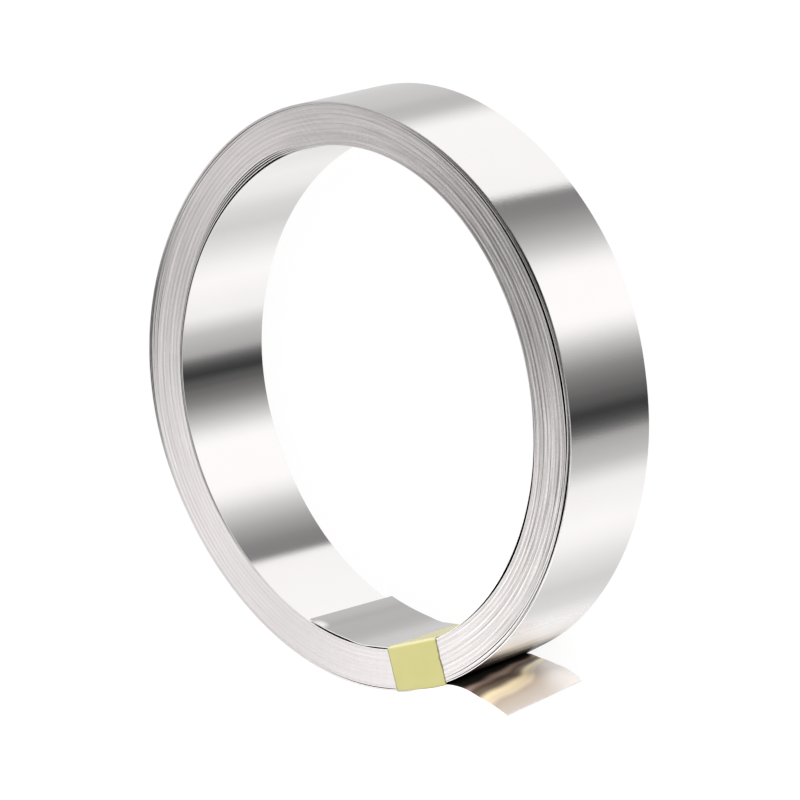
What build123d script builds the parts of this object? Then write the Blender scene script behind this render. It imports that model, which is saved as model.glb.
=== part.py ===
from build123d import *
import math
import os

# A coil of thin nickel strip that lies on one end, with a free tail and one wrap of tape.
# Sizes are in millimetres. The coil's axis is Z and its eye is centred on the origin.
# Angles are taken round that axis from -Y, positive towards +X.

# The strip and the coil wound from it
strip_width = 20.0
strip_thickness = 0.2
eye_diameter = 88.0
turn_count = 41

# The turns lie in groups that stand a little in or out on both ends of the coil
turn_groups = 12
deepest_set_back = 0.22

# The wrap of tape, whose ends lap on the coil's rim
tape_width = 12.7
tape_thickness = 0.06
tape_angle = 19.6
tape_lap = 6.0
tape_clearance = 0.02

# Inner end of the strip, which comes out from under the tape and lies a little free in the eye.
# Every turn steps out by one thickness on its way to it.
inner_end_free_length = 19.0
inner_end_gap = 0.15
step_run = 60.0

# Outer end of the strip: it leaves the rim beside the tape, bends over and ends as a flat tail
tail_from_tape = 0.3
tail_bend_radius = 3.5
tail_first_dip = 1.5
tail_sweep_radius = 24.0
tail_dip = 18.5
tail_flat_length = 5.5
tail_length_inside = 1.0

# The outermost turn bulges a little off the pack beside the tail
loose_turn_gap = 0.18
loose_turn_start = 7.0
loose_turn_run = 115.0

eye_radius = eye_diameter / 2
wound_depth = turn_count * strip_thickness
outer_radius = eye_radius + wound_depth
pack_radius = outer_radius - strip_thickness
half_width = strip_width / 2
tape_inside = tape_clearance
tape_outside = tape_clearance + tape_thickness
cutter_margin = 1.0
spiral_steps = 6


def at(radius, angle):
    """The point at a radius and an angle from -Y, as X and Y."""
    turn = math.radians(angle)
    return (radius * math.sin(turn), -radius * math.cos(turn))


def angle_of(length, radius):
    """The angle that a length takes up at a radius."""
    return math.degrees(length / radius)


def tape_edge(radius, side):
    """The angle at which the straight edge of the tape on one side crosses a radius."""
    return tape_angle + side * math.degrees(math.asin(tape_width / 2 / radius))


def arc_round(radius, angle_a, angle_b):
    """An arc round the coil's axis."""
    return ThreePointArc(at(radius, angle_a), at(radius, (angle_a + angle_b) / 2), at(radius, angle_b))


def spiral(radius_a, angle_a, radius_b, angle_b):
    """A stretch of spiral: its radius changes evenly from one end to the other."""
    points = []
    for step in range(spiral_steps + 1):
        share = step / spiral_steps
        radius = radius_a + (radius_b - radius_a) * share
        points.append(at(radius, angle_a + (angle_b - angle_a) * share))
    return Spline(*points)


def set_back(group):
    """How far a group of turns stands in from the coil's flat ends."""
    if group in (0, turn_groups - 1):
        return 0.0
    golden_turn = math.radians(137.5)
    return deepest_set_back * (0.5 - 0.5 * math.cos(golden_turn * group))


# The tape's edges settle where both ends of the strip come free
tape_rim = outer_radius + tape_outside
tail_root_angle = tape_edge(tape_rim, 1) + angle_of(tail_from_tape, tape_rim)
inner_gap_end = tape_edge(eye_radius, -1)
inner_end_angle = inner_gap_end - angle_of(inner_end_free_length, eye_radius)
step_start_angle = inner_end_angle - angle_of(step_run, eye_radius)

# The strip: the wound pack with its turns showing on both ends, the inner end and the tail
with BuildPart() as nickel_strip:
    # The pack, turned from a section whose ends step at each group of turns
    with BuildSketch(Plane.YZ) as pack_section:
        with BuildLine():
            group_depth = (pack_radius - eye_radius) / turn_groups
            upper_end = []
            for group in range(turn_groups):
                across = half_width - set_back(group)
                upper_end.append((eye_radius + group * group_depth, across))
                upper_end.append((eye_radius + (group + 1) * group_depth, across))
            lower_end = [(out, -across) for out, across in reversed(upper_end)]
            Polyline(*upper_end, *lower_end, close=True)
        make_face()
    revolve(axis=Axis.Z)

    # The last part-turn of the strip steps up on to the rim and ends at the tail
    with BuildSketch(Plane.XY) as last_part_turn:
        with BuildLine():
            inside_radius = pack_radius - strip_thickness
            spiral(pack_radius, step_start_angle, outer_radius, inner_end_angle)
            arc_round(outer_radius, inner_end_angle, tail_root_angle)
            Line(at(outer_radius, tail_root_angle), at(inside_radius, tail_root_angle))
            arc_round(inside_radius, tail_root_angle, step_start_angle)
            Line(at(inside_radius, step_start_angle), at(pack_radius, step_start_angle))
        make_face()
    extrude(amount=half_width, both=True)

    # The loose outermost turn bulges past the tail, with a thin gap between it and the pack
    loose_start = tail_root_angle + angle_of(loose_turn_start, pack_radius)
    loose_end = loose_start + angle_of(loose_turn_run, pack_radius)
    loose_middle = (loose_start + loose_end) / 2
    for radius, reach, mode in (
        (pack_radius, half_width, Mode.ADD),
        (pack_radius - strip_thickness, half_width + cutter_margin, Mode.SUBTRACT),
    ):
        with BuildSketch(Plane.XY) as loose_crescent:
            with BuildLine():
                bulge = at(radius + loose_turn_gap, loose_middle)
                ThreePointArc(at(radius, loose_start), bulge, at(radius, loose_end))
                arc_round(radius, loose_end, loose_start)
            make_face()
        extrude(amount=reach, both=True, mode=mode)

    # The step in the eye before the inner end, and the narrow gap that this end stands off by
    gap_floor = eye_radius + strip_thickness
    with BuildSketch(Plane.XY) as inner_step_cut:
        with BuildLine():
            clear_radius = eye_radius - cutter_margin
            deep_radius = gap_floor + inner_end_gap
            spiral(eye_radius, step_start_angle, deep_radius, inner_end_angle)
            spiral(deep_radius, inner_end_angle, gap_floor, inner_gap_end)
            arc_round(gap_floor, inner_gap_end, inner_end_angle)
            Line(at(gap_floor, inner_end_angle), at(clear_radius, inner_end_angle))
            arc_round(clear_radius, inner_end_angle, step_start_angle)
            Line(at(clear_radius, step_start_angle), at(eye_radius, step_start_angle))
        make_face()
    extrude(amount=half_width + cutter_margin, both=True, mode=Mode.SUBTRACT)

    # The tail: out of the last turn, round its bend and sweep, and straight at its end
    with BuildSketch(Plane.XY) as tail_section:
        with BuildLine() as tail_line:
            middle_radius = outer_radius - strip_thickness / 2
            inside_angle = tail_root_angle - angle_of(tail_length_inside, outer_radius)
            root = arc_round(middle_radius, inside_angle, tail_root_angle)
            bend = JernArc(root @ 1, root % 1, tail_bend_radius, -(tail_root_angle + tail_first_dip))
            sweep = JernArc(bend @ 1, bend % 1, tail_sweep_radius, tail_first_dip - tail_dip)
            Line(sweep @ 1, sweep @ 1 + (sweep % 1) * tail_flat_length)
        trace(tail_line.line, line_width=strip_thickness)
    extrude(amount=half_width, both=True)

nickel_strip.part.label = "nickel_strip"


# The tape: one straight ribbon round the section of the coil, with its ends lapped
middle_of_depth = eye_radius + wound_depth / 2
tape_centre = at(middle_of_depth, tape_angle)

with BuildPart() as tape_band:
    # The ribbon's section with the lap on its outer side, turned round the coil's axis
    with BuildSketch(Plane.YZ) as band_section:
        with Locations((middle_of_depth, 0)):
            Rectangle(wound_depth + 2 * tape_outside, strip_width + 2 * tape_outside)
            Rectangle(
                wound_depth + 2 * tape_inside, strip_width + 2 * tape_inside, mode=Mode.SUBTRACT
            )
        with Locations((tape_rim + tape_thickness / 2, 0)):
            Rectangle(tape_thickness, tape_lap)
    revolve(axis=Axis.Z)

    # The ribbon is as much of that ring as its own width takes in
    with BuildSketch(Plane.XY) as band_outline:
        with Locations(tape_centre):
            Rectangle(tape_width, 2 * wound_depth, rotation=tape_angle)
    extrude(amount=strip_width, both=True, mode=Mode.INTERSECT)

tape_band.part.label = "tape_band"


os.makedirs("parts", exist_ok=True)
for piece in (nickel_strip.part, tape_band.part):
    export_step(piece, f"parts/{piece.label}.step")
    size = piece.bounding_box().size
    print(piece.label, f"{piece.volume:.1f} mm3, {size.X:.2f} x {size.Y:.2f} x {size.Z:.2f} mm")
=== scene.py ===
import math

import bpy
from mathutils import Matrix, Vector, noise


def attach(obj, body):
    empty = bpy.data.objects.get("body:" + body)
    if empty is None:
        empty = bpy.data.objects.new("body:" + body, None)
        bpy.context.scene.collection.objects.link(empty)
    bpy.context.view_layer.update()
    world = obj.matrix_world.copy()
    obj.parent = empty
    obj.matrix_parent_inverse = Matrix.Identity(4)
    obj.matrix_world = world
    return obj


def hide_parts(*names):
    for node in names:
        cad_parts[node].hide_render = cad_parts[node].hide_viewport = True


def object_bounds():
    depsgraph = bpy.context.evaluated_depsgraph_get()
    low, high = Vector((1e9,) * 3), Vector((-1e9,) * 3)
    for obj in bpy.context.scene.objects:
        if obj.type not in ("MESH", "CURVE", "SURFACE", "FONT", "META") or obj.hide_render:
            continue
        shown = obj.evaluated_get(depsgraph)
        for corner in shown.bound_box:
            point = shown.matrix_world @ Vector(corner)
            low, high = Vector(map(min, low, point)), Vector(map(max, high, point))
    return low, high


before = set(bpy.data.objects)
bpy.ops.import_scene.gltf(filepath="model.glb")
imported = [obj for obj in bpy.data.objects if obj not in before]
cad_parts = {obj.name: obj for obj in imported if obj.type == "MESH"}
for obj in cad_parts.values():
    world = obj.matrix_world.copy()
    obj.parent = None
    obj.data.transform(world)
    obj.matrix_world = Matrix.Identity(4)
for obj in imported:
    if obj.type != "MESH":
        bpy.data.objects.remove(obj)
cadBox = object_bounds()
mm = 0.001
print("frame loaded")

# Angles run round the coil's axis, Z, from -Y towards +X, in degrees.
# Lengths in the dictionaries are in millimetres, except where a note says metres.


def deselectAll():
    if bpy.context.object and bpy.context.object.mode != "OBJECT":
        bpy.ops.object.mode_set(mode="OBJECT")
    bpy.ops.object.select_all(action="DESELECT")


def editMode(selectMode):
    bpy.ops.object.mode_set(mode="EDIT")
    bpy.ops.mesh.select_mode(type=selectMode)


def selectOnly(piece, selectMode, test):
    # ends in edit mode, with only the parts selected that pass the test
    editMode(selectMode)
    bpy.ops.mesh.select_all(action="DESELECT")
    bpy.ops.object.mode_set(mode="OBJECT")
    parts = {"VERT": piece.data.vertices, "EDGE": piece.data.edges, "FACE": piece.data.polygons}
    for part in parts[selectMode]:
        part.select = test(part)
    editMode(selectMode)


def applyAll(piece):
    deselectAll()
    piece.select_set(True)
    bpy.context.view_layer.objects.active = piece
    for modifier in list(piece.modifiers):
        bpy.ops.object.modifier_apply(modifier=modifier.name)


def addAttributes(piece, names, rows):
    # a row holds one vertex's values by name, and what it leaves out is 0
    for name in names:
        layer = piece.data.attributes.new(name, "FLOAT", "POINT")
        layer.data.foreach_set("value", [float(row.get(name, 0.0)) for row in rows])


def smoothStep(value, low, high):
    share = min(max((value - low) / (high - low), 0.0), 1.0)
    return share * share * (3 - 2 * share)


def alongRim(radius, angle, height=0.0):
    turn = math.radians(angle)
    return Vector((radius * math.sin(turn) * mm, -radius * math.cos(turn) * mm, height * mm))


def waves(mean, parts, angle):
    return mean + sum(size * math.cos(math.radians(count * angle - peak)) for count, size, peak in parts)


def bump(spot, angle):
    # rises smoothly from start to peak and falls to end
    away = (angle - spot["peak"] + 180) % 360 - 180
    run = spot["end"] - spot["peak"] if away > 0 else spot["peak"] - spot["start"]
    share = max(1 - abs(away) / run, 0.0)
    return spot["gap"] * share * share * (3 - 2 * share)


def onPath(points, share):
    # a point on a smooth path through the given points, each span taking an even share
    count = len(points) - 1
    at = min(share * count, count - 1e-6)
    first = int(at)
    rest = at - first
    before = Vector(points[max(first - 1, 0)])
    here, there = Vector(points[first]), Vector(points[first + 1])
    after = Vector(points[min(first + 2, count)])
    return 0.5 * (
        2 * here
        + (there - before) * rest
        + (2 * before - 5 * here + 4 * there - after) * rest ** 2
        + (3 * here - before - 3 * there + after) * rest ** 3
    )


# Shader maths as expressions: a wire is one socket of one node tree
class Wire:
    def __init__(self, tree, socket=None):
        self.tree = tree
        self.socket = socket

    def node(self, kind, settings=None, inputs=None, out=0):
        made = self.tree.nodes.new(kind)
        for name, value in (settings or {}).items():
            if name == "stops":
                ramp = made.color_ramp
                while len(ramp.elements) < len(value):
                    ramp.elements.new(0.5)
                for element, (place, colour) in zip(ramp.elements, value):
                    element.position = place
                    element.color = colour
            elif name == "blend":
                made.color_ramp.interpolation = value
            else:
                setattr(made, name, value)
        for name, value in (inputs or {}).items():
            if isinstance(value, Wire):
                self.tree.links.new(value.socket, made.inputs[name])
            else:
                made.inputs[name].default_value = value
        return Wire(self.tree, made.outputs[out] if len(made.outputs) else None)

    def math(self, operation, first, second=0.0):
        return self.node("ShaderNodeMath", {"operation": operation}, {0: first, 1: second})

    def __add__(self, other):
        return self.math("ADD", self, other)

    def __radd__(self, other):
        return self.math("ADD", other, self)

    def __sub__(self, other):
        return self.math("SUBTRACT", self, other)

    def __rsub__(self, other):
        return self.math("SUBTRACT", other, self)

    def __mul__(self, other):
        return self.math("MULTIPLY", self, other)

    def __rmul__(self, other):
        return self.math("MULTIPLY", other, self)

    def __truediv__(self, other):
        return self.math("DIVIDE", self, other)

    def clamp(self, low=0.0, high=1.0):
        return self.node("ShaderNodeClamp", None, {"Value": self, "Min": low, "Max": high})

    def fade(self, low, high, most=1.0):
        # rises smoothly from 0 at low to its most at high
        limits = {0: self, 1: low, 2: high, 3: 0.0, 4: most}
        return self.node("ShaderNodeMapRange", {"interpolation_type": "SMOOTHSTEP"}, limits)

    def mix(self, first, second):
        # this wire is the share of the second colour
        return self.node("ShaderNodeMix", {"data_type": "RGBA"}, {0: self, 6: first, 7: second}, 2)

    def scaled(self, factor):
        return self.node("ShaderNodeVectorMath", {"operation": "SCALE"}, {0: self, "Scale": factor})

    def split(self):
        # the X, Y and Z of a vector
        apart = self.node("ShaderNodeSeparateXYZ", None, {0: self}).socket.node
        return [Wire(self.tree, output) for output in apart.outputs]

    def attribute(self, name):
        return self.node("ShaderNodeAttribute", {"attribute_name": name}, None, "Fac")

    def noiseOver(self, place, scale, detail):
        return self.node("ShaderNodeTexNoise", None, {"Vector": place, "Scale": scale, "Detail": detail})

    def leaning(self, lean):
        # the surface's own normal, leant over by a vector
        facing = self.node("ShaderNodeNewGeometry", out="Normal")
        facing = self.node("ShaderNodeVectorMath", {"operation": "ADD"}, {0: facing, 1: lean})
        return self.node("ShaderNodeVectorMath", {"operation": "NORMALIZE"}, {0: facing})


def newMaterial(name):
    material = bpy.data.materials.new(name)
    material.use_nodes = True
    tree = material.node_tree
    tree.nodes.clear()
    return material, Wire(tree)


# The flat sides of the strip

nickelLook = {
    "bright": ((0.86, 0.838, 0.831, 1), (0.84, 0.818, 0.81, 1)),
    # painted shade on the inner end, where its lifted flap would reflect darker
    "shadedEnd": (0.50, 0.488, 0.482, 1),
    # the warm fringe of the painted shade beside the tail
    "warm": (0.87, 0.79, 0.70, 1),
    # the black of the painted shade: beside the tail, between the turns and under the tail's root
    "black": (0.012, 0.0115, 0.010, 1),
    "cloudScale": 90.0,
    # how rough it is, and what the clouds and a matt place add
    "roughness": 0.06,
    "cloudRoughness": 0.04,
    "mattRoughness": 0.25,
    "mattMetalLoss": 0.75,
    "specular": 0.1,
    # a fine orange peel, in metres: it grows from this count of wraps outwards, and never falls below a share
    "peelScale": 4200.0,
    "peelStrength": 0.4,
    "peelDepth": 0.000028,
    "peelFromWrap": 38.9,
    "leastPeel": 0.25,
    # the front corner of the inner end leans its normals as if bent and stays bright, clear of the painted
    # shade, in metres
    "corner": (-0.0084, -0.0429, 0.0098),
    "cornerShare": 1.3,
    "cornerFade": 660.0,
    "cornerLean": 0.08,
    # painted shade between the turns: black up to this height from the strip's middle, in metres
    "packHeight": 0.0099,
    "packFade": 8000.0,
    # the tail's colour from its root to its tip, a heat tint with painted light on it: black, then brown,
    # straw and pale
    # the black root and the dark brown bands are painted shade, and the bright straw band a painted highlight
    "temper": (
        (0.0, (0.018, 0.017, 0.015, 1)), (0.42, (0.026, 0.023, 0.019, 1)), (0.48, (0.36, 0.25, 0.20, 1)),
        (0.535, (0.13, 0.095, 0.07, 1)), (0.59, (0.20, 0.15, 0.11, 1)), (0.68, (0.95, 0.80, 0.53, 1)),
        (0.75, (0.80, 0.67, 0.48, 1)), (0.82, (0.52, 0.43, 0.35, 1)), (0.90, (0.52, 0.46, 0.40, 1)),
        (1.0, (0.54, 0.49, 0.45, 1)),
    ),
}


def nickelColour(start, place, cloud, corner):
    height = place.split()[2]
    # the painted shade between the turns stops just short of the strip's edges
    deep = ((nickelLook["packHeight"] - start.math("ABSOLUTE", height)) * nickelLook["packFade"]).clamp()
    # painted shade on the inner end, left off its front corner
    shadedEnd = start.attribute("tarnish") * (1.0 - corner)
    # painted shade: black beside the tail, under the tail's root and between the turns
    black = (start.attribute("shade") + start.attribute("inPack") * deep).clamp()
    plain = cloud.mix(*nickelLook["bright"])
    plain = shadedEnd.mix(plain, nickelLook["shadedEnd"])
    # the warm fringe of the painted shade beside the tail
    plain = start.attribute("warm").mix(plain, nickelLook["warm"])
    plain = black.mix(plain, nickelLook["black"])
    ramp = {"stops": nickelLook["temper"], "blend": "EASE"}
    # the tail's heat tint, with its painted shade and highlight
    tintedAndShaded = start.node("ShaderNodeValToRGB", ramp, {"Fac": start.attribute("temper")}, "Color")
    return start.attribute("onTail").mix(plain, tintedAndShaded)


def rolledNickel():
    material, start = newMaterial("rolled nickel")
    place = start.node("ShaderNodeTexCoord", out="Object")
    cloud = start.noiseOver(place, nickelLook["cloudScale"], 3.0)
    peel = start.noiseOver(place, nickelLook["peelScale"], 2.0)
    matt = start.attribute("matt")
    ends = {0: place, 1: nickelLook["corner"]}
    away = start.node("ShaderNodeVectorMath", {"operation": "DISTANCE"}, ends, "Value")
    corner = (nickelLook["cornerShare"] - away * nickelLook["cornerFade"]).clamp()
    outermost = (start.attribute("turns") - nickelLook["peelFromWrap"]).clamp(nickelLook["leastPeel"], 1.0)
    lean = start.node("ShaderNodeCombineXYZ", None, {"X": corner * nickelLook["cornerLean"]})
    relief = start.node(
        "ShaderNodeBump",
        None,
        {
            "Strength": nickelLook["peelStrength"],
            "Distance": nickelLook["peelDepth"],
            "Height": peel * (outermost * (1.0 - matt)),
            "Normal": start.leaning(lean),
        },
    )
    rough = nickelLook["roughness"] + cloud * nickelLook["cloudRoughness"]
    rough = rough + matt * nickelLook["mattRoughness"]
    shader = start.node(
        "ShaderNodeBsdfPrincipled",
        None,
        {
            "Base Color": nickelColour(start, place, cloud, corner),
            "Roughness": rough,
            "Metallic": 1.0 - matt * nickelLook["mattMetalLoss"],
            "Specular IOR Level": nickelLook["specular"],
            "Normal": relief,
        },
    )
    start.node("ShaderNodeOutputMaterial", None, {"Surface": shader})
    return material


# The slit edges, which make the face of the coil

edgeLook = {
    "dark": (0.08, 0.078, 0.078, 1),
    "pale": (0.96, 0.918, 0.908, 1),
    "tone": 0.85,
    # streaks that lie along the turns: pitch across them, pitch along them, detail, strength
    "wideStreaks": (0.56, 0.8, 2.0, 0.8),
    "fineStreaks": (1.3, 3.0, 3.0, 1.5),
    # and even stripes that the wide streaks push aside
    "stripePitch": 1.42,
    "stripePush": 3.0,
    "stripes": 0.22,
    "grainScale": 4200.0,
    "grain": 0.4,
    "grainStrength": 0.03,
    "grainDepth": 0.00002,
    "roughness": 0.26,
    "streakRoughness": 0.12,
    # a slit edge rounds over outwards
    "roundOver": 0.3,
}


def slitEdge():
    material, start = newMaterial("slit edge")
    place = start.node("ShaderNodeTexCoord", out="Object")
    x, y = place.split()[:2]
    turns = start.attribute("turns")
    angle = start.math("ARCTAN2", y, x)
    # tone changes from turn to turn, and slowly along each one
    lanes = []
    for across, along, detail, strength in (edgeLook["wideStreaks"], edgeLook["fineStreaks"]):
        lane = start.node("ShaderNodeCombineXYZ", None, {"X": turns * across, "Y": angle * along})
        lanes.append((start.noiseOver(lane, 1.0, detail), strength))
    (wide, wideStrength), (fine, fineStrength) = lanes
    grain = start.noiseOver(place, edgeLook["grainScale"], 1.0)
    stripes = start.math("SINE", turns * edgeLook["stripePitch"] + wide * edgeLook["stripePush"])
    streaks = (wide - 0.5) * wideStrength + (fine - 0.5) * fineStrength + stripes * edgeLook["stripes"]
    # all of it is stronger on the +X side, with some of it on the -X side
    side = (0.1 + x * 20.0 + y * 5.0).clamp(0.08, 1.0) + (y * 2.0 - x * 6.0).clamp(0.0, 0.3)
    # the painted shade and light of the edges is taken off the tone
    tone = edgeLook["tone"] + (streaks + (grain - 0.5) * edgeLook["grain"]) * side - start.attribute("dull")
    outward = start.node("ShaderNodeCombineXYZ", None, {"X": x, "Y": y})
    outward = start.node("ShaderNodeVectorMath", {"operation": "NORMALIZE"}, {0: outward})
    relief = start.node(
        "ShaderNodeBump",
        None,
        {
            "Strength": edgeLook["grainStrength"],
            "Distance": edgeLook["grainDepth"],
            "Height": grain,
            "Normal": start.leaning(outward.scaled(edgeLook["roundOver"])),
        },
    )
    shader = start.node(
        "ShaderNodeBsdfPrincipled",
        None,
        {
            "Base Color": tone.clamp().mix(edgeLook["dark"], edgeLook["pale"]),
            "Roughness": edgeLook["roughness"] + fine * edgeLook["streakRoughness"],
            "Metallic": 1.0,
            "Normal": relief,
        },
    )
    start.node("ShaderNodeOutputMaterial", None, {"Surface": shader})
    return material


# The strip, wound into its coil

coil = {
    "width": 20.0,
    "thickness": 0.18,
    "eyeRadius": 44.0,
    "rimRadius": 52.2,
    "wraps": 40,
    "innerEnd": -14.4,
    "outerEnd": 24.0,
    "stepsPerWrap": 160,
    "edgeRound": 0.026,
    # faces that look up or down by more than this are slit edges
    "edgeFacing": 0.3,
    # out of round, as a mean and waves of (count round the coil, height, angle)
    "eyeMean": 0.20,
    "eyeWaves": ((1, 0.53, 51), (2, 0.36, -3), (3, 0.33, 108), (4, 0.14, 8)),
    "rimMean": 0.36,
    "rimWaves": ((1, 0.33, 37), (2, 0.47, 147), (3, 0.29, 100), (4, 0.27, 45), (5, 0.11, -95)),
    "eyeSwell": {"start": -106, "peak": -85, "end": -48, "gap": 0.20},
    "rimSwell": {"start": 56, "peak": 87, "end": 104, "gap": 0.26},
    # telescoped turns: how far they wander along the axis, and on which side, in radians
    "wander": 0.09,
    "wanderRound": 0.9,
    "wanderPerWrap": 0.33,
    "wanderSide": 0.44,
    "leastWander": 0.12,
    # the last turns stand lower round one angle
    "rimDip": {"wraps": 4, "depth": 0.16, "angle": 125},
    # the inner end: how far it stands off the pack, from its tip to the tape
    "flapLift": (
        (0.0, 0.24), (2.2, 0.31), (4.4, 0.35), (6.6, 0.37), (8.8, 0.36),
        (11.0, 0.28), (13.2, 0.06), (15.4, 0.22), (17.6, 0.26), (19.8, 0.20), (22.0, 0.0),
    ),
    # its rear corner stands off further, and its cut runs aslant over this share of a wrap
    "rearLift": 0.68,
    "endSkew": 0.8,
    "skewReach": 0.05,
    # the last turn comes off the pack under the tape: start, end and height
    "lastLift": (16.0, 28.0, 0.44),
    # the turns are slightly conical: how much closer in the rear edges lie, at the rim and at the eye
    "rearTuck": (
        {"start": 5, "peak": 31, "end": 78, "gap": 1.0},
        {"start": 24, "peak": 30, "end": 44, "gap": 0.2},
        {"start": 35, "peak": 85, "end": 128, "gap": 0.6},
        {"start": 125, "peak": 178, "end": 242, "gap": -0.9},
    ),
    "rearEyeTuck": {"start": -185, "peak": -127, "end": -62, "gap": -0.65},
    # where neighbouring turns stand apart: wraps to the inside of the gap, then angles and width
    "innerGaps": (
        {"wrap": 1, "start": -167, "peak": -153, "end": -50, "gap": 0.35},
        {"wrap": 2, "start": -168, "peak": -147, "end": -92, "gap": 0.27},
        {"wrap": 3, "start": -168, "peak": -146, "end": -98, "gap": 0.24},
        {"wrap": 4, "start": -168, "peak": -145, "end": -104, "gap": 0.20},
        {"wrap": 2, "start": -120, "peak": -85, "end": -25, "gap": 0.12},
        {"wrap": 1, "start": -90, "peak": -54, "end": -22, "gap": 0.16},
        {"wrap": 1, "start": 28, "peak": 62, "end": 108, "gap": 0.43},
    ),
    # the same near the rim, with wraps to the outside of the gap, each counted from just past the tail's root
    "rimGaps": (
        {"wrap": 1, "start": 20, "peak": 40, "end": 66, "gap": 0.17},
        {"wrap": 4, "start": 20, "peak": 42, "end": 72, "gap": 0.17},
        {"wrap": 2, "start": 44, "peak": 78, "end": 104, "gap": 0.38},
        {"wrap": 4, "start": 78, "peak": 102, "end": 178, "gap": 0.36},
        {"wrap": 2, "start": -14, "peak": 8, "end": 19, "gap": 0.14},
        {"wrap": 2, "start": 178, "peak": 218, "end": 262, "gap": 0.14},
        {"wrap": 4, "start": 190, "peak": 232, "end": 266, "gap": 0.12},
        {"wrap": 3, "start": 90, "peak": 126, "end": 182, "gap": 0.12},
        {"wrap": 1, "start": 95, "peak": 135, "end": 178, "gap": 0.14},
        {"wrap": 1, "start": -128, "peak": -86, "end": -56, "gap": 0.14},
        {"wrap": 2, "start": -128, "peak": -90, "end": -58, "gap": 0.12},
        {"wrap": 5, "start": -124, "peak": -98, "end": -70, "gap": 0.12},
        {"wrap": 9, "start": -124, "peak": -98, "end": -76, "gap": 0.10},
    ),
    "rimGapStart": 0.11,
    # painted shade on the slit edges, between two counts of wraps, and painted light where the gap is below 0
    "shadedSpots": (
        {"from": 37.4, "to": 41.0, "start": 84, "peak": 124, "end": 180, "gap": 0.26},
        {"from": 0.0, "to": 5.0, "start": -170, "peak": -144, "end": -90, "gap": -0.14},
        {"from": 37.6, "to": 41.0, "start": -126, "peak": -88, "end": -50, "gap": 0.36},
        {"from": 39.2, "to": 41.0, "start": -178, "peak": -158, "end": -110, "gap": 0.30},
        {"from": 0.0, "to": 2.2, "start": -130, "peak": -90, "end": -20, "gap": 0.24},
        {"from": 0.0, "to": 41.0, "start": 84, "peak": 124, "end": 172, "gap": 0.18},
        {"from": 30.0, "to": 41.0, "start": -130, "peak": -102, "end": -74, "gap": 0.14},
        {"from": 37.5, "to": 41.0, "start": -76, "peak": -44, "end": 4, "gap": 0.12},
        {"from": 0.0, "to": 41.0, "start": -100, "peak": -30, "end": 26, "gap": 0.10},
        {"from": 0.0, "to": 41.0, "start": 126, "peak": 152, "end": 168, "gap": 0.06},
    ),
    # painted shade and light on the whole face round the coil, as a mean and waves
    "faceShading": (0.10, ((1, 0.085, 51), (2, 0.065, 147), (3, 0.054, -11), (4, 0.033, -80))),
    # painted shade on the inner end, at its tip and again in a fainter band, by the length from the tip
    "tipShade": 1.3,
    "tipShadeFades": (1.5, 6.5),
    "bandShade": 0.2,
    "bandShadeRises": (4, 7),
    "bandShadeFades": (9, 12),
    # painted shade on the rim beside the tail: painted black, then a warm painted fringe, and matt: where
    # each fades, and how far that slants
    "besideTail": {"end": 60, "slant": 2.5, "black": (37, 42), "warm": (40.5, 45), "matt": (44, 54)},
    "warmth": 0.9,
    # painted shade between the turns as well, in black: where that rises, and where it ends past the full
    # wraps
    "packRises": (1.05, 1.1),
    "packEnds": (-0.9, -0.893),
    # and painted shade, in black, at the very end of the ribbon, under the tail's root
    "rootBlack": (0.1, 0.103),
}
lastWrap = coil["wraps"] + (coil["outerEnd"] - coil["innerEnd"]) / 360

# What the materials read from the strip
stripLayers = ("turns", "dull", "warm", "tarnish", "shade", "inPack", "matt", "onTail", "temper")


def eyeOffset(angle):
    return waves(coil["eyeMean"], coil["eyeWaves"], angle) + bump(coil["eyeSwell"], angle)


def rimOffset(angle):
    return waves(coil["rimMean"], coil["rimWaves"], angle) + bump(coil["rimSwell"], angle)


def lastLift(angle):
    start, end, height = coil["lastLift"]
    return height * smoothStep(angle, start, end)


def rearTuck(angle):
    return sum(bump(spot, angle) for spot in coil["rearTuck"])


def rearShare(height):
    # 0 at the strip's front edge, 1 at its rear one
    return 0.5 - height / coil["width"]


def lengthFromTip(wrap):
    return wrap * 2 * math.pi * coil["eyeRadius"]


def stripRadius(wrap, angle, height):
    # inner face of the strip at a count of wraps from its inner end
    inside = coil["eyeRadius"] + eyeOffset(angle)
    outside = coil["rimRadius"] + rimOffset(angle) - coil["thickness"]
    gaps = [(spot["wrap"], bump(spot, angle)) for spot in coil["innerGaps"]]
    for spot in coil["rimGaps"]:
        gaps.append((coil["wraps"] - spot["wrap"] + coil["rimGapStart"], bump(spot, angle)))
    spare = sum(size for first, size in gaps)
    share = wrap / lastWrap
    radius = inside + (outside - inside - spare) * share
    radius += sum(size for first, size in gaps if wrap >= first)
    if wrap > coil["wraps"]:
        radius += lastLift(angle - coil["wraps"] * 360)
    rear = rearShare(height)
    radius -= rear * share * rearTuck(angle)
    radius -= rear * (1 - share) * bump(coil["rearEyeTuck"], angle)
    run = lengthFromTip(wrap)
    flapEnd = coil["flapLift"][-1][0]
    if run < flapEnd:
        radius -= onPath(coil["flapLift"], run / flapEnd).y
        radius -= coil["rearLift"] * rear * (1 - run / flapEnd) ** 1.5
    return radius


def stripShift(wrap, angle):
    # how far a turn stands in or out along the axis
    turn = math.radians(angle)
    size = coil["wanderRound"]
    spot = Vector((math.cos(turn) * size, math.sin(turn) * size, wrap * coil["wanderPerWrap"]))
    side = max(0.5 + 0.5 * math.sin(turn - coil["wanderSide"]), coil["leastWander"])
    shift = noise.noise(spot) * coil["wander"] * side
    dip = coil["rimDip"]
    if coil["wraps"] - wrap < dip["wraps"]:
        shift -= dip["depth"] * max(0.0, math.cos(math.radians(angle - dip["angle"])))
    return shift


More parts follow.
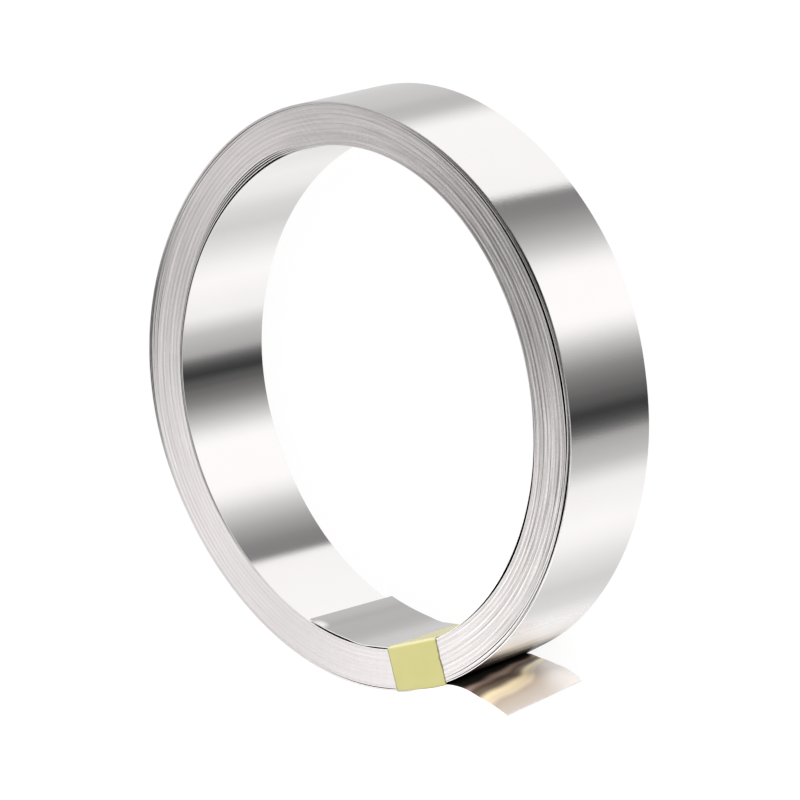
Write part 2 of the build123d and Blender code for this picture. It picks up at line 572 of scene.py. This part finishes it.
# painted shade and light on the slit edges, by wraps and angle
def edgeShading(wrap, angle):
    spots = sum(bump(spot, angle) for spot in coil["shadedSpots"] if spot["from"] <= wrap <= spot["to"])
    return spots + waves(*coil["faceShading"], angle)


# painted shade on the inner end, by the length from its tip
def tipShade(run):
    atTip = coil["tipShade"] * (1 - smoothStep(run, *coil["tipShadeFades"]))
    band = smoothStep(run, *coil["bandShadeRises"]) * (1 - smoothStep(run, *coil["bandShadeFades"]))
    return min(atTip + coil["bandShade"] * band, 1.0)


def pastFullWraps(limits):
    return [coil["wraps"] + limit for limit in limits]


def coilSurface(wrap, angle, height):
    row = {"turns": wrap, "dull": edgeShading(wrap, angle), "tarnish": tipShade(lengthFromTip(wrap))}
    # painted shade between the turns
    afterPack = smoothStep(wrap, *pastFullWraps(coil["packEnds"]))
    row["inPack"] = smoothStep(wrap, *coil["packRises"]) * (1 - afterPack)
    beside = coil["besideTail"]
    local = angle % 360
    if coil["wraps"] - 1 < wrap < coil["wraps"] - 0.5 and local < beside["end"]:
        row["matt"] = 1 - smoothStep(local, *beside["matt"])
        local += beside["slant"] * rearShare(height)
        # painted shade beside the tail: a warm fringe, then black
        row["warm"] = coil["warmth"] * (1 - smoothStep(local, *beside["warm"]))
        row["shade"] = 1 - smoothStep(local, *beside["black"])
    else:
        # painted shade at the very end of the ribbon, under the tail's root
        row["shade"] = smoothStep(wrap, *pastFullWraps(coil["rootBlack"]))
    return row


def windRibbon(steps):
    # one upright edge at the eye's wall, wound round the axis into a ribbon
    deselectAll()
    bpy.ops.mesh.primitive_plane_add(size=coil["width"] * mm, rotation=(math.pi / 2, 0, 0))
    ribbon = bpy.context.object
    ribbon.name = "nickel_turns"
    bpy.ops.object.transform_apply(location=True, rotation=True, scale=True)
    selectOnly(ribbon, "VERT", lambda vertex: vertex.co.x > 0)
    bpy.ops.mesh.delete(type="VERT")
    bpy.ops.object.mode_set(mode="OBJECT")
    for vertex in ribbon.data.vertices:
        vertex.co = alongRim(coil["eyeRadius"], coil["innerEnd"], vertex.co.z / mm)
    winding = ribbon.modifiers.new("winding", "SCREW")
    winding.axis = "Z"
    winding.angle = math.radians(lastWrap * 360)
    winding.steps = steps
    winding.render_steps = steps
    winding.use_merge_vertices = False
    applyAll(ribbon)
    return ribbon


def windStrip():
    steps = round(lastWrap * coil["stepsPerWrap"])
    ribbon = windRibbon(steps)
    # every turn is let out to its own radius, and a step has two vertices
    rows = []
    for vertex in ribbon.data.vertices:
        wrap = (vertex.index // 2) * lastWrap / steps
        angle = coil["innerEnd"] + wrap * 360
        height = vertex.co.z / mm
        skew = coil["endSkew"] * rearShare(height) * max(1 - wrap / coil["skewReach"], 0.0)
        vertex.co = alongRim(stripRadius(wrap, angle, height), angle + skew, height + stripShift(wrap, angle))
        rows.append(coilSurface(wrap, angle, height))
    addAttributes(ribbon, stripLayers, rows)
    return ribbon


# The strip's tail, which leaves the rim beside the tape

tail = {
    "stepsAlong": 49,
    "stepsAcross": 24,
    # it follows the rim at these angles, then its two long edges, as X and Y
    "rootAngles": (17.0, 21.0, 25.0),
    "rootCover": 0.03,
    "frontEdge": ((24.0, -47.75), (27.6, -47.6), (31.2, -48.3), (34.8, -49.1), (38.4, -50.25)),
    "rearEdge": ((24.0, -46.12), (27.3, -46.3), (30.7, -46.6), (34.1, -47.1), (37.3, -48.35)),
    # a soft ridge and a dent cross it from its front edge to its rear tip:
    # place along it, reach, and height as a share of the crease
    "crease": 0.42,
    "creaseSlant": 0.22,
    "folds": ((0.69, 0.11, 0.6), (0.52, 0.085, -0.5)),
    "ripple": 0.10,
    # the colours wobble, run across at a slant and pale early at the rear
    "colourWobble": 0.05,
    "colourSlant": 0.10,
    "paleAlong": (0.42, 0.62),
    "paleAcross": (0.02, 0.46),
    "paleShift": 0.22,
    "paleShare": 0.5,
    # its cut end, which faces +X beyond this radius, looks like the slit edges
    "cutEndRadius": 59.0,
    "cutEndFacing": 0.7,
}


def rimPoints(height):
    points = []
    for angle in tail["rootAngles"]:
        wrap = coil["wraps"] + (angle - coil["innerEnd"]) / 360
        radius = stripRadius(wrap, angle + coil["wraps"] * 360, height) - tail["rootCover"]
        spot = alongRim(radius, angle) / mm
        points.append((spot.x, spot.y))
    return tuple(points)


def foldHeight(along, across):
    folded = 0.0
    for place, reach, size in tail["folds"]:
        folded += size * math.exp(-(((along - place + tail["creaseSlant"] * (across - 0.5)) / reach) ** 2))
    # both long edges stay as they are
    return tail["crease"] * folded * math.sin(math.pi * across) ** 0.7


# the tail's heat tint with its painted shade and highlight, moved along the tail
def tailSurface(along, across):
    wobble = tail["colourWobble"] * noise.noise(Vector((along * 2.5, across * 4, 5.0)))
    pale = smoothStep(along, *tail["paleAlong"]) * (1 - smoothStep(across, *tail["paleAcross"]))
    temper = along + wobble - tail["colourSlant"] * (across - 0.5) + tail["paleShift"] * pale
    return {
        "turns": coil["wraps"],
        "matt": 1.0,
        "temper": min(max(temper, 0.0), 1.0),
        "onTail": 1 - tail["paleShare"] * pale,
    }


def bendTail():
    deselectAll()
    bpy.ops.mesh.primitive_grid_add(
        x_subdivisions=tail["stepsAlong"], y_subdivisions=tail["stepsAcross"], size=2.0
    )
    piece = bpy.context.object
    front = rimPoints(coil["width"] / 2) + tail["frontEdge"]
    rear = rimPoints(-coil["width"] / 2) + tail["rearEdge"]
    rootShare = 1 / (len(front) - 1)
    rows = []
    for vertex in piece.data.vertices:
        share = (vertex.co.x + 1) / 2
        across = (vertex.co.y + 1) / 2
        along = max((share - rootShare) / (1 - rootShare), 0.0)
        spot = onPath(rear, share).lerp(onPath(front, share), across)
        ripple = tail["ripple"] * noise.noise(Vector((along * 6, across * 3, 2.0))) * along
        lift = foldHeight(along, across) + ripple
        vertex.co = Vector((spot.x, spot.y + lift, coil["width"] * (across - 0.5))) * mm
        rows.append(tailSurface(along, across))
    addAttributes(piece, stripLayers, rows)
    return piece


def makeStrip():
    strip = windStrip()
    end = bendTail()
    deselectAll()
    end.select_set(True)
    strip.select_set(True)
    bpy.context.view_layer.objects.active = strip
    bpy.ops.object.join()
    wall = strip.modifiers.new("thickness", "SOLIDIFY")
    wall.thickness = coil["thickness"] * mm
    wall.offset = 1.0
    rounding = strip.modifiers.new("edges", "BEVEL")
    rounding.width = coil["edgeRound"] * mm
    rounding.segments = 2
    rounding.limit_method = "ANGLE"
    rounding.angle_limit = math.radians(60)
    applyAll(strip)
    return strip


def coverStrip(strip):
    strip.data.materials.append(rolledNickel())
    strip.data.materials.append(slitEdge())
    for face in strip.data.polygons:
        beyond = face.center.xy.length > tail["cutEndRadius"] * mm
        cutEnd = beyond and face.normal.x > tail["cutEndFacing"]
        face.material_index = 1 if abs(face.normal.z) > coil["edgeFacing"] or cutEnd else 0
        face.use_smooth = True
    weights = strip.modifiers.new("normals", "WEIGHTED_NORMAL")
    weights.weight = 100
    applyAll(strip)


strip = makeStrip()
coverStrip(strip)
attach(strip, "root")
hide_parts("nickel_strip")
print("strip wound", len(strip.data.polygons), "faces")


# The wrap of tape

tape = {
    "width": 12.7,
    "thickness": 0.07,
    "angle": 19.4,
    # how far it stands off the eye and the rim, and off the coil's two ends
    "air": 0.03,
    "endAir": 0.08,
    "cornerRound": 0.45,
    # columns across the width, with a narrow one for the painted shadow line on both sides
    "columns": (-6.22, -6.1, -5, -4, -3, -2, -1, 1, 2, 3, 4, 5, 6.1, 6.22),
    # rows round the section: pitch, and count to each side of the middle
    "depthRows": (0.6, 6),
    "heightRows": (1.6, 5),
    # its cut edges wave, the one on the tail's side more
    "edgeWave": 0.28,
    "edgeWaveFrom": (4.5, 6.1),
    "calmShare": 0.25,
    "wrinkle": 0.03,
    # in the eye it stands off the wall, and its rear lies turned back by some degrees
    "eyeAir": 0.2,
    "askew": 4.9,
    # on the rim it rises away from the tail, by this for each millimetre
    "rimRise": 0.02,
    # painted shadow: the dark line along both cut edges, and the fainter one where the film turns over on to
    # the rim
    "edgeShadowLine": (6.12, 6.2),
    "foldLine": 0.8,
    "foldDepth": (0.5, 0.2),
    "foldHeight": (9.2, 9.6),
    # the colour in the eye ends at this share of the depth
    "eyeEnds": (0.01, 0.06),
    "film": ((0.61, 0.57, 0.20, 1), (0.67, 0.63, 0.27, 1)),
    "filmInEye": (0.92, 0.87, 0.49, 1),
    "edgeShadowColour": (0.20, 0.18, 0.06, 1),
    "edgeShadowShare": 0.75,
    "cloudScale": 260.0,
    "reliefStrength": 0.2,
    "reliefDepth": 0.00005,
    "roughness": 0.34,
    "alpha": 0.82,
}


def yellowFilm():
    material, start = newMaterial("yellow film")
    place = start.node("ShaderNodeTexCoord", out="Object")
    cloud = start.noiseOver(place, tape["cloudScale"], 3.0)
    colour = cloud.mix(*tape["film"])
    colour = start.attribute("inEye").mix(colour, tape["filmInEye"])
    # painted shadow along the cut edges and the fold
    colour = (start.attribute("border") * tape["edgeShadowShare"]).mix(colour, tape["edgeShadowColour"])
    relief = start.node(
        "ShaderNodeBump",
        None,
        {"Strength": tape["reliefStrength"], "Distance": tape["reliefDepth"], "Height": cloud},
    )
    shader = start.node(
        "ShaderNodeBsdfPrincipled",
        None,
        {"Base Color": colour, "Roughness": tape["roughness"], "Alpha": tape["alpha"], "Normal": relief},
    )
    start.node("ShaderNodeOutputMaterial", None, {"Surface": shader})
    return material


def foldBand(depth):
    # a block as large as the coil's section, X along the rim, Y outwards, open at both cut edges
    deselectAll()
    bpy.ops.mesh.primitive_cube_add(size=1.0)
    band = bpy.context.object
    band.name = "tape_wrap"
    reach = coil["width"] / 2 + tape["endAir"]
    band.scale = (tape["width"] * mm, depth * mm, 2 * reach * mm)
    bpy.ops.object.transform_apply(location=True, rotation=True, scale=True)
    selectOnly(band, "FACE", lambda face: abs(face.normal.x) > 0.9)
    bpy.ops.mesh.delete(type="ONLY_FACE")

    def runsAcross(edge):
        ends = [band.data.vertices[index].co.x for index in edge.vertices]
        return abs(ends[0] - ends[1]) > tape["width"] * mm / 2

    selectOnly(band, "EDGE", runsAcross)
    bpy.ops.mesh.bevel(offset=tape["cornerRound"] * mm, segments=4, affect="EDGES")
    return band


def cutBand():
    # works on the band as foldBand leaves it, in edit mode
    column = Vector((1, 0, 0))
    cuts = [(column, place) for place in (0,) + tape["columns"]]
    rows = ((Vector((0, 1, 0)), tape["depthRows"]), (Vector((0, 0, 1)), tape["heightRows"]))
    for direction, (pitch, count) in rows:
        cuts += [(direction, pitch * step) for step in range(-count, count + 1)]
    for direction, place in cuts:
        bpy.ops.mesh.select_all(action="SELECT")
        bpy.ops.mesh.bisect(plane_co=direction * place * mm, plane_no=direction)
    bpy.ops.object.mode_set(mode="OBJECT")


# the painted shadow along the cut edges and the fold, and the share of the film in the eye
def filmSurface(along, out, up, share, halfDepth):
    fold = smoothStep(out, *[halfDepth - inwards for inwards in tape["foldDepth"]])
    fold *= smoothStep(up, *tape["foldHeight"])
    return {
        "border": max(smoothStep(abs(along), *tape["edgeShadowLine"]), tape["foldLine"] * fold),
        "inEye": 1 - smoothStep(share, *tape["eyeEnds"]),
    }


def edgeWave(along, out, up):
    size = tape["edgeWave"] * smoothStep(abs(along), *tape["edgeWaveFrom"])
    if along > 0:
        return size * noise.noise(Vector((out, up * 0.6, 7.0)))
    return size * tape["calmShare"] * noise.noise(Vector((out * 0.5, up * 0.4, 3.0)))


def filmPlace(along, up, radius, share):
    # how far out the film lies, and how far it is turned round the axis
    angle = tape["angle"] + math.degrees(along / radius)
    drift = (eyeOffset(angle) - eyeOffset(tape["angle"])) * (1 - share)
    drift += (rimOffset(angle) - rimOffset(tape["angle"])) * share
    reach = math.sqrt(max((radius + drift) ** 2 - along ** 2, 0.0))
    rear = rearShare(up)
    if share < 0.5:
        # in the eye it spans straight across the hollow wall
        eyeward = 1 - 2 * share
        chord = math.sqrt(radius ** 2 - (tape["width"] / 2) ** 2)
        reach += eyeward * (chord - tape["eyeAir"] - reach)
        return reach, math.radians(-tape["askew"] * rear * eyeward)
    # on the rim it lifts with the last turn, and its rear follows the tuck
    rimward = 2 * share - 1
    reach += rimward * (lastLift(angle) - rear * rearTuck(angle) + max(-along, 0.0) * tape["rimRise"])
    return reach, 0.0


def drapeBand(band, inside, outside):
    turn = math.radians(tape["angle"])
    outward = Vector((math.sin(turn), -math.cos(turn), 0))
    onward = Vector((math.cos(turn), math.sin(turn), 0))
    halfDepth = (outside - inside) / 2
    rows = []
    for vertex in band.data.vertices:
        along, out, up = vertex.co / mm
        share = (out + halfDepth) / (outside - inside)
        rows.append(filmSurface(along, out, up, share, halfDepth))
        along += edgeWave(along, out, up)
        reach, swing = filmPlace(along, up, (inside + outside) / 2 + out, share)
        up += tape["wrinkle"] * noise.noise(Vector((along * 0.6, out * 0.6, up * 0.2)))
        spot = outward * reach + onward * along
        spot.rotate(Matrix.Rotation(swing, 3, "Z"))
        vertex.co = (spot + Vector((0, 0, up))) * mm
    addAttributes(band, ("border", "inEye"), rows)


def makeTape():
    inside = coil["eyeRadius"] + eyeOffset(tape["angle"]) - tape["air"]
    outside = coil["rimRadius"] + rimOffset(tape["angle"]) + tape["air"]
    band = foldBand(outside - inside)
    cutBand()
    drapeBand(band, inside, outside)
    film = band.modifiers.new("film", "SOLIDIFY")
    film.thickness = tape["thickness"] * mm
    film.offset = 1.0
    applyAll(band)
    bpy.ops.object.shade_smooth_by_angle(angle=math.radians(40))
    band.data.materials.append(yellowFilm())
    return band


band = makeTape()
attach(band, "root")
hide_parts("tape_band")
print("tape wrapped", len(band.data.polygons), "faces")


# Floor, light and camera

stage = {
    # in metres
    "floorSize": 3.0,
    "floorColour": (0.98, 0.98, 0.98, 1),
    "floorGlow": 1.02,
    "shadowShare": 0.9,
    "metalGain": 1.18,
    # what the metal sees round the coil, by angle from +X towards +Y: an sRGB grey for each place
    "surroundings": (
        (2, 106), (8, 135), (16, 191), (24, 242), (28, 254), (49, 253), (54, 240), (60, 206),
        (68, 166), (76, 134), (83.5, 124), (86, 246), (125, 248), (130, 224), (135, 190), (142, 184),
        (150, 195), (190, 205), (236, 236), (250, 233), (262, 215), (273, 208), (286, 228), (295, 244),
        (303, 251), (321, 241), (330, 192), (341, 170), (345, 108), (349, 74), (353, 53), (357.5, 92),
    ),
    # greys darker than this are slightly cool
    "coolBelow": 80,
    "coolWarmth": -0.03,
    # overhead it sees a soft tent, brighter on the -Y side and brightest towards -X there
    "tentLevel": 0.63,
    "tentSlope": 0.98,
    "tentLimits": (0.35, 1.38),
    "tentFrom": (-0.35, 0.05),
    "panelFrom": (-0.15, -0.38),
    "panelGain": 0.45,
    "panelStart": -0.9,
    "panelSlope": 3.0,
}

# Lamps, in metres: the spot that each one lights, and the beam from there to the lamp
lamps = {
    "softbox": {"spot": (0, 0, 0), "beam": (-0.25, 0.55, 0.9), "reach": 1.0, "size": 0.8, "energy": 3.0},
    # a low one behind the coil lights the tail
    "low lamp": {
        "spot": (0.034, -0.049, 0.0), "beam": (0.77, 0.63, 0.06), "reach": 0.6, "size": 0.15, "energy": 3.2,
    },
}

view = {
    "place": (631.9, 208.9, 623.2),
    "turn": (-13.39, 45.31, 0.0),
    "lens": 231.6,
    "sensor": 36.0,
    # nearest and furthest, in metres
    "clip": (0.01, 20.0),
}


def grey(value, warmth=0.0):
    # a linear colour from an sRGB grey, 0 to 255
    share = value / 255
    light = share / 12.92 if share <= 0.04045 else ((share + 0.055) / 1.055) ** 2.4
    return (light * (1 + warmth), light, light * (1 - warmth), 1.0)


def buildWorld():
    world = bpy.data.worlds.new("studio")
    bpy.context.scene.world = world
    world.use_nodes = True
    tree = world.node_tree
    tree.nodes.clear()
    start = Wire(tree)
    x, y, z = start.node("ShaderNodeTexCoord", out="Generated").split()
    angle = start.math("ARCTAN2", y, x) / (2 * math.pi)
    around = start.math("FRACT", angle + 1.0)
    stops = []
    for place, value in stage["surroundings"]:
        warmth = stage["coolWarmth"] if value < stage["coolBelow"] else 0.0
        stops.append((place / 360, grey(value, warmth)))
    ring = start.node("ShaderNodeValToRGB", {"stops": stops, "blend": "LINEAR"}, {"Fac": around}, "Color")
    panel = y.fade(*stage["panelFrom"], stage["panelGain"])
    sideways = (stage["panelStart"] - x * stage["panelSlope"]).clamp()
    tent = (stage["tentLevel"] - y * stage["tentSlope"] + panel * sideways).clamp(*stage["tentLimits"])
    overhead = start.node("ShaderNodeCombineColor", None, {0: tent, 1: tent, 2: tent})
    seen = z.fade(*stage["tentFrom"]).mix(ring, overhead).scaled(stage["metalGain"])
    glossy = start.node("ShaderNodeLightPath", out="Is Glossy Ray")
    colour = glossy.mix((1.0, 1.0, 1.0, 1), seen)
    background = start.node("ShaderNodeBackground", None, {"Color": colour, "Strength": 1.0})
    start.node("ShaderNodeOutputWorld", None, {"Surface": background})


def layFloor():
    deselectAll()
    bpy.ops.mesh.primitive_plane_add(size=stage["floorSize"], location=(0, 0, cadBox[0].z))
    floor = bpy.context.object
    floor.name = "floor"
    floor.visible_glossy = False
    material, start = newMaterial("white floor")
    matt = start.node("ShaderNodeBsdfDiffuse", None, {"Color": stage["floorColour"]})
    bright = start.node("ShaderNodeEmission", None, {"Color": (1, 1, 1, 1), "Strength": stage["floorGlow"]})
    camera = start.node("ShaderNodeLightPath", out="Is Camera Ray")
    both = start.node("ShaderNodeMixShader", None, {0: camera * stage["shadowShare"], 1: matt, 2: bright})
    start.node("ShaderNodeOutputMaterial", None, {"Surface": both})
    floor.data.materials.append(material)


def hangLamp(name, settings):
    beam = Vector(settings["beam"])
    bpy.ops.object.light_add(type="AREA", location=Vector(settings["spot"]) + beam * settings["reach"])
    lamp = bpy.context.object
    lamp.name = name
    lamp.data.shape = "DISK"
    lamp.data.size = settings["size"]
    lamp.data.energy = settings["energy"]
    lamp.visible_glossy = False
    lamp.rotation_euler = beam.to_track_quat("Z", "Y").to_euler()


def placeCamera():
    data = bpy.data.cameras.new("camera")
    data.lens = view["lens"]
    data.sensor_width = view["sensor"]
    data.clip_start, data.clip_end = view["clip"]
    camera = bpy.data.objects.new("camera", data)
    bpy.context.scene.collection.objects.link(camera)
    camera.location = Vector(view["place"]) * mm
    camera.rotation_euler = [math.radians(part) for part in view["turn"]]
    bpy.context.scene.camera = camera


buildWorld()
layFloor()
for name, settings in lamps.items():
    hangLamp(name, settings)
placeCamera()
bpy.context.scene.view_settings.view_transform = "Standard"
print("stage set")
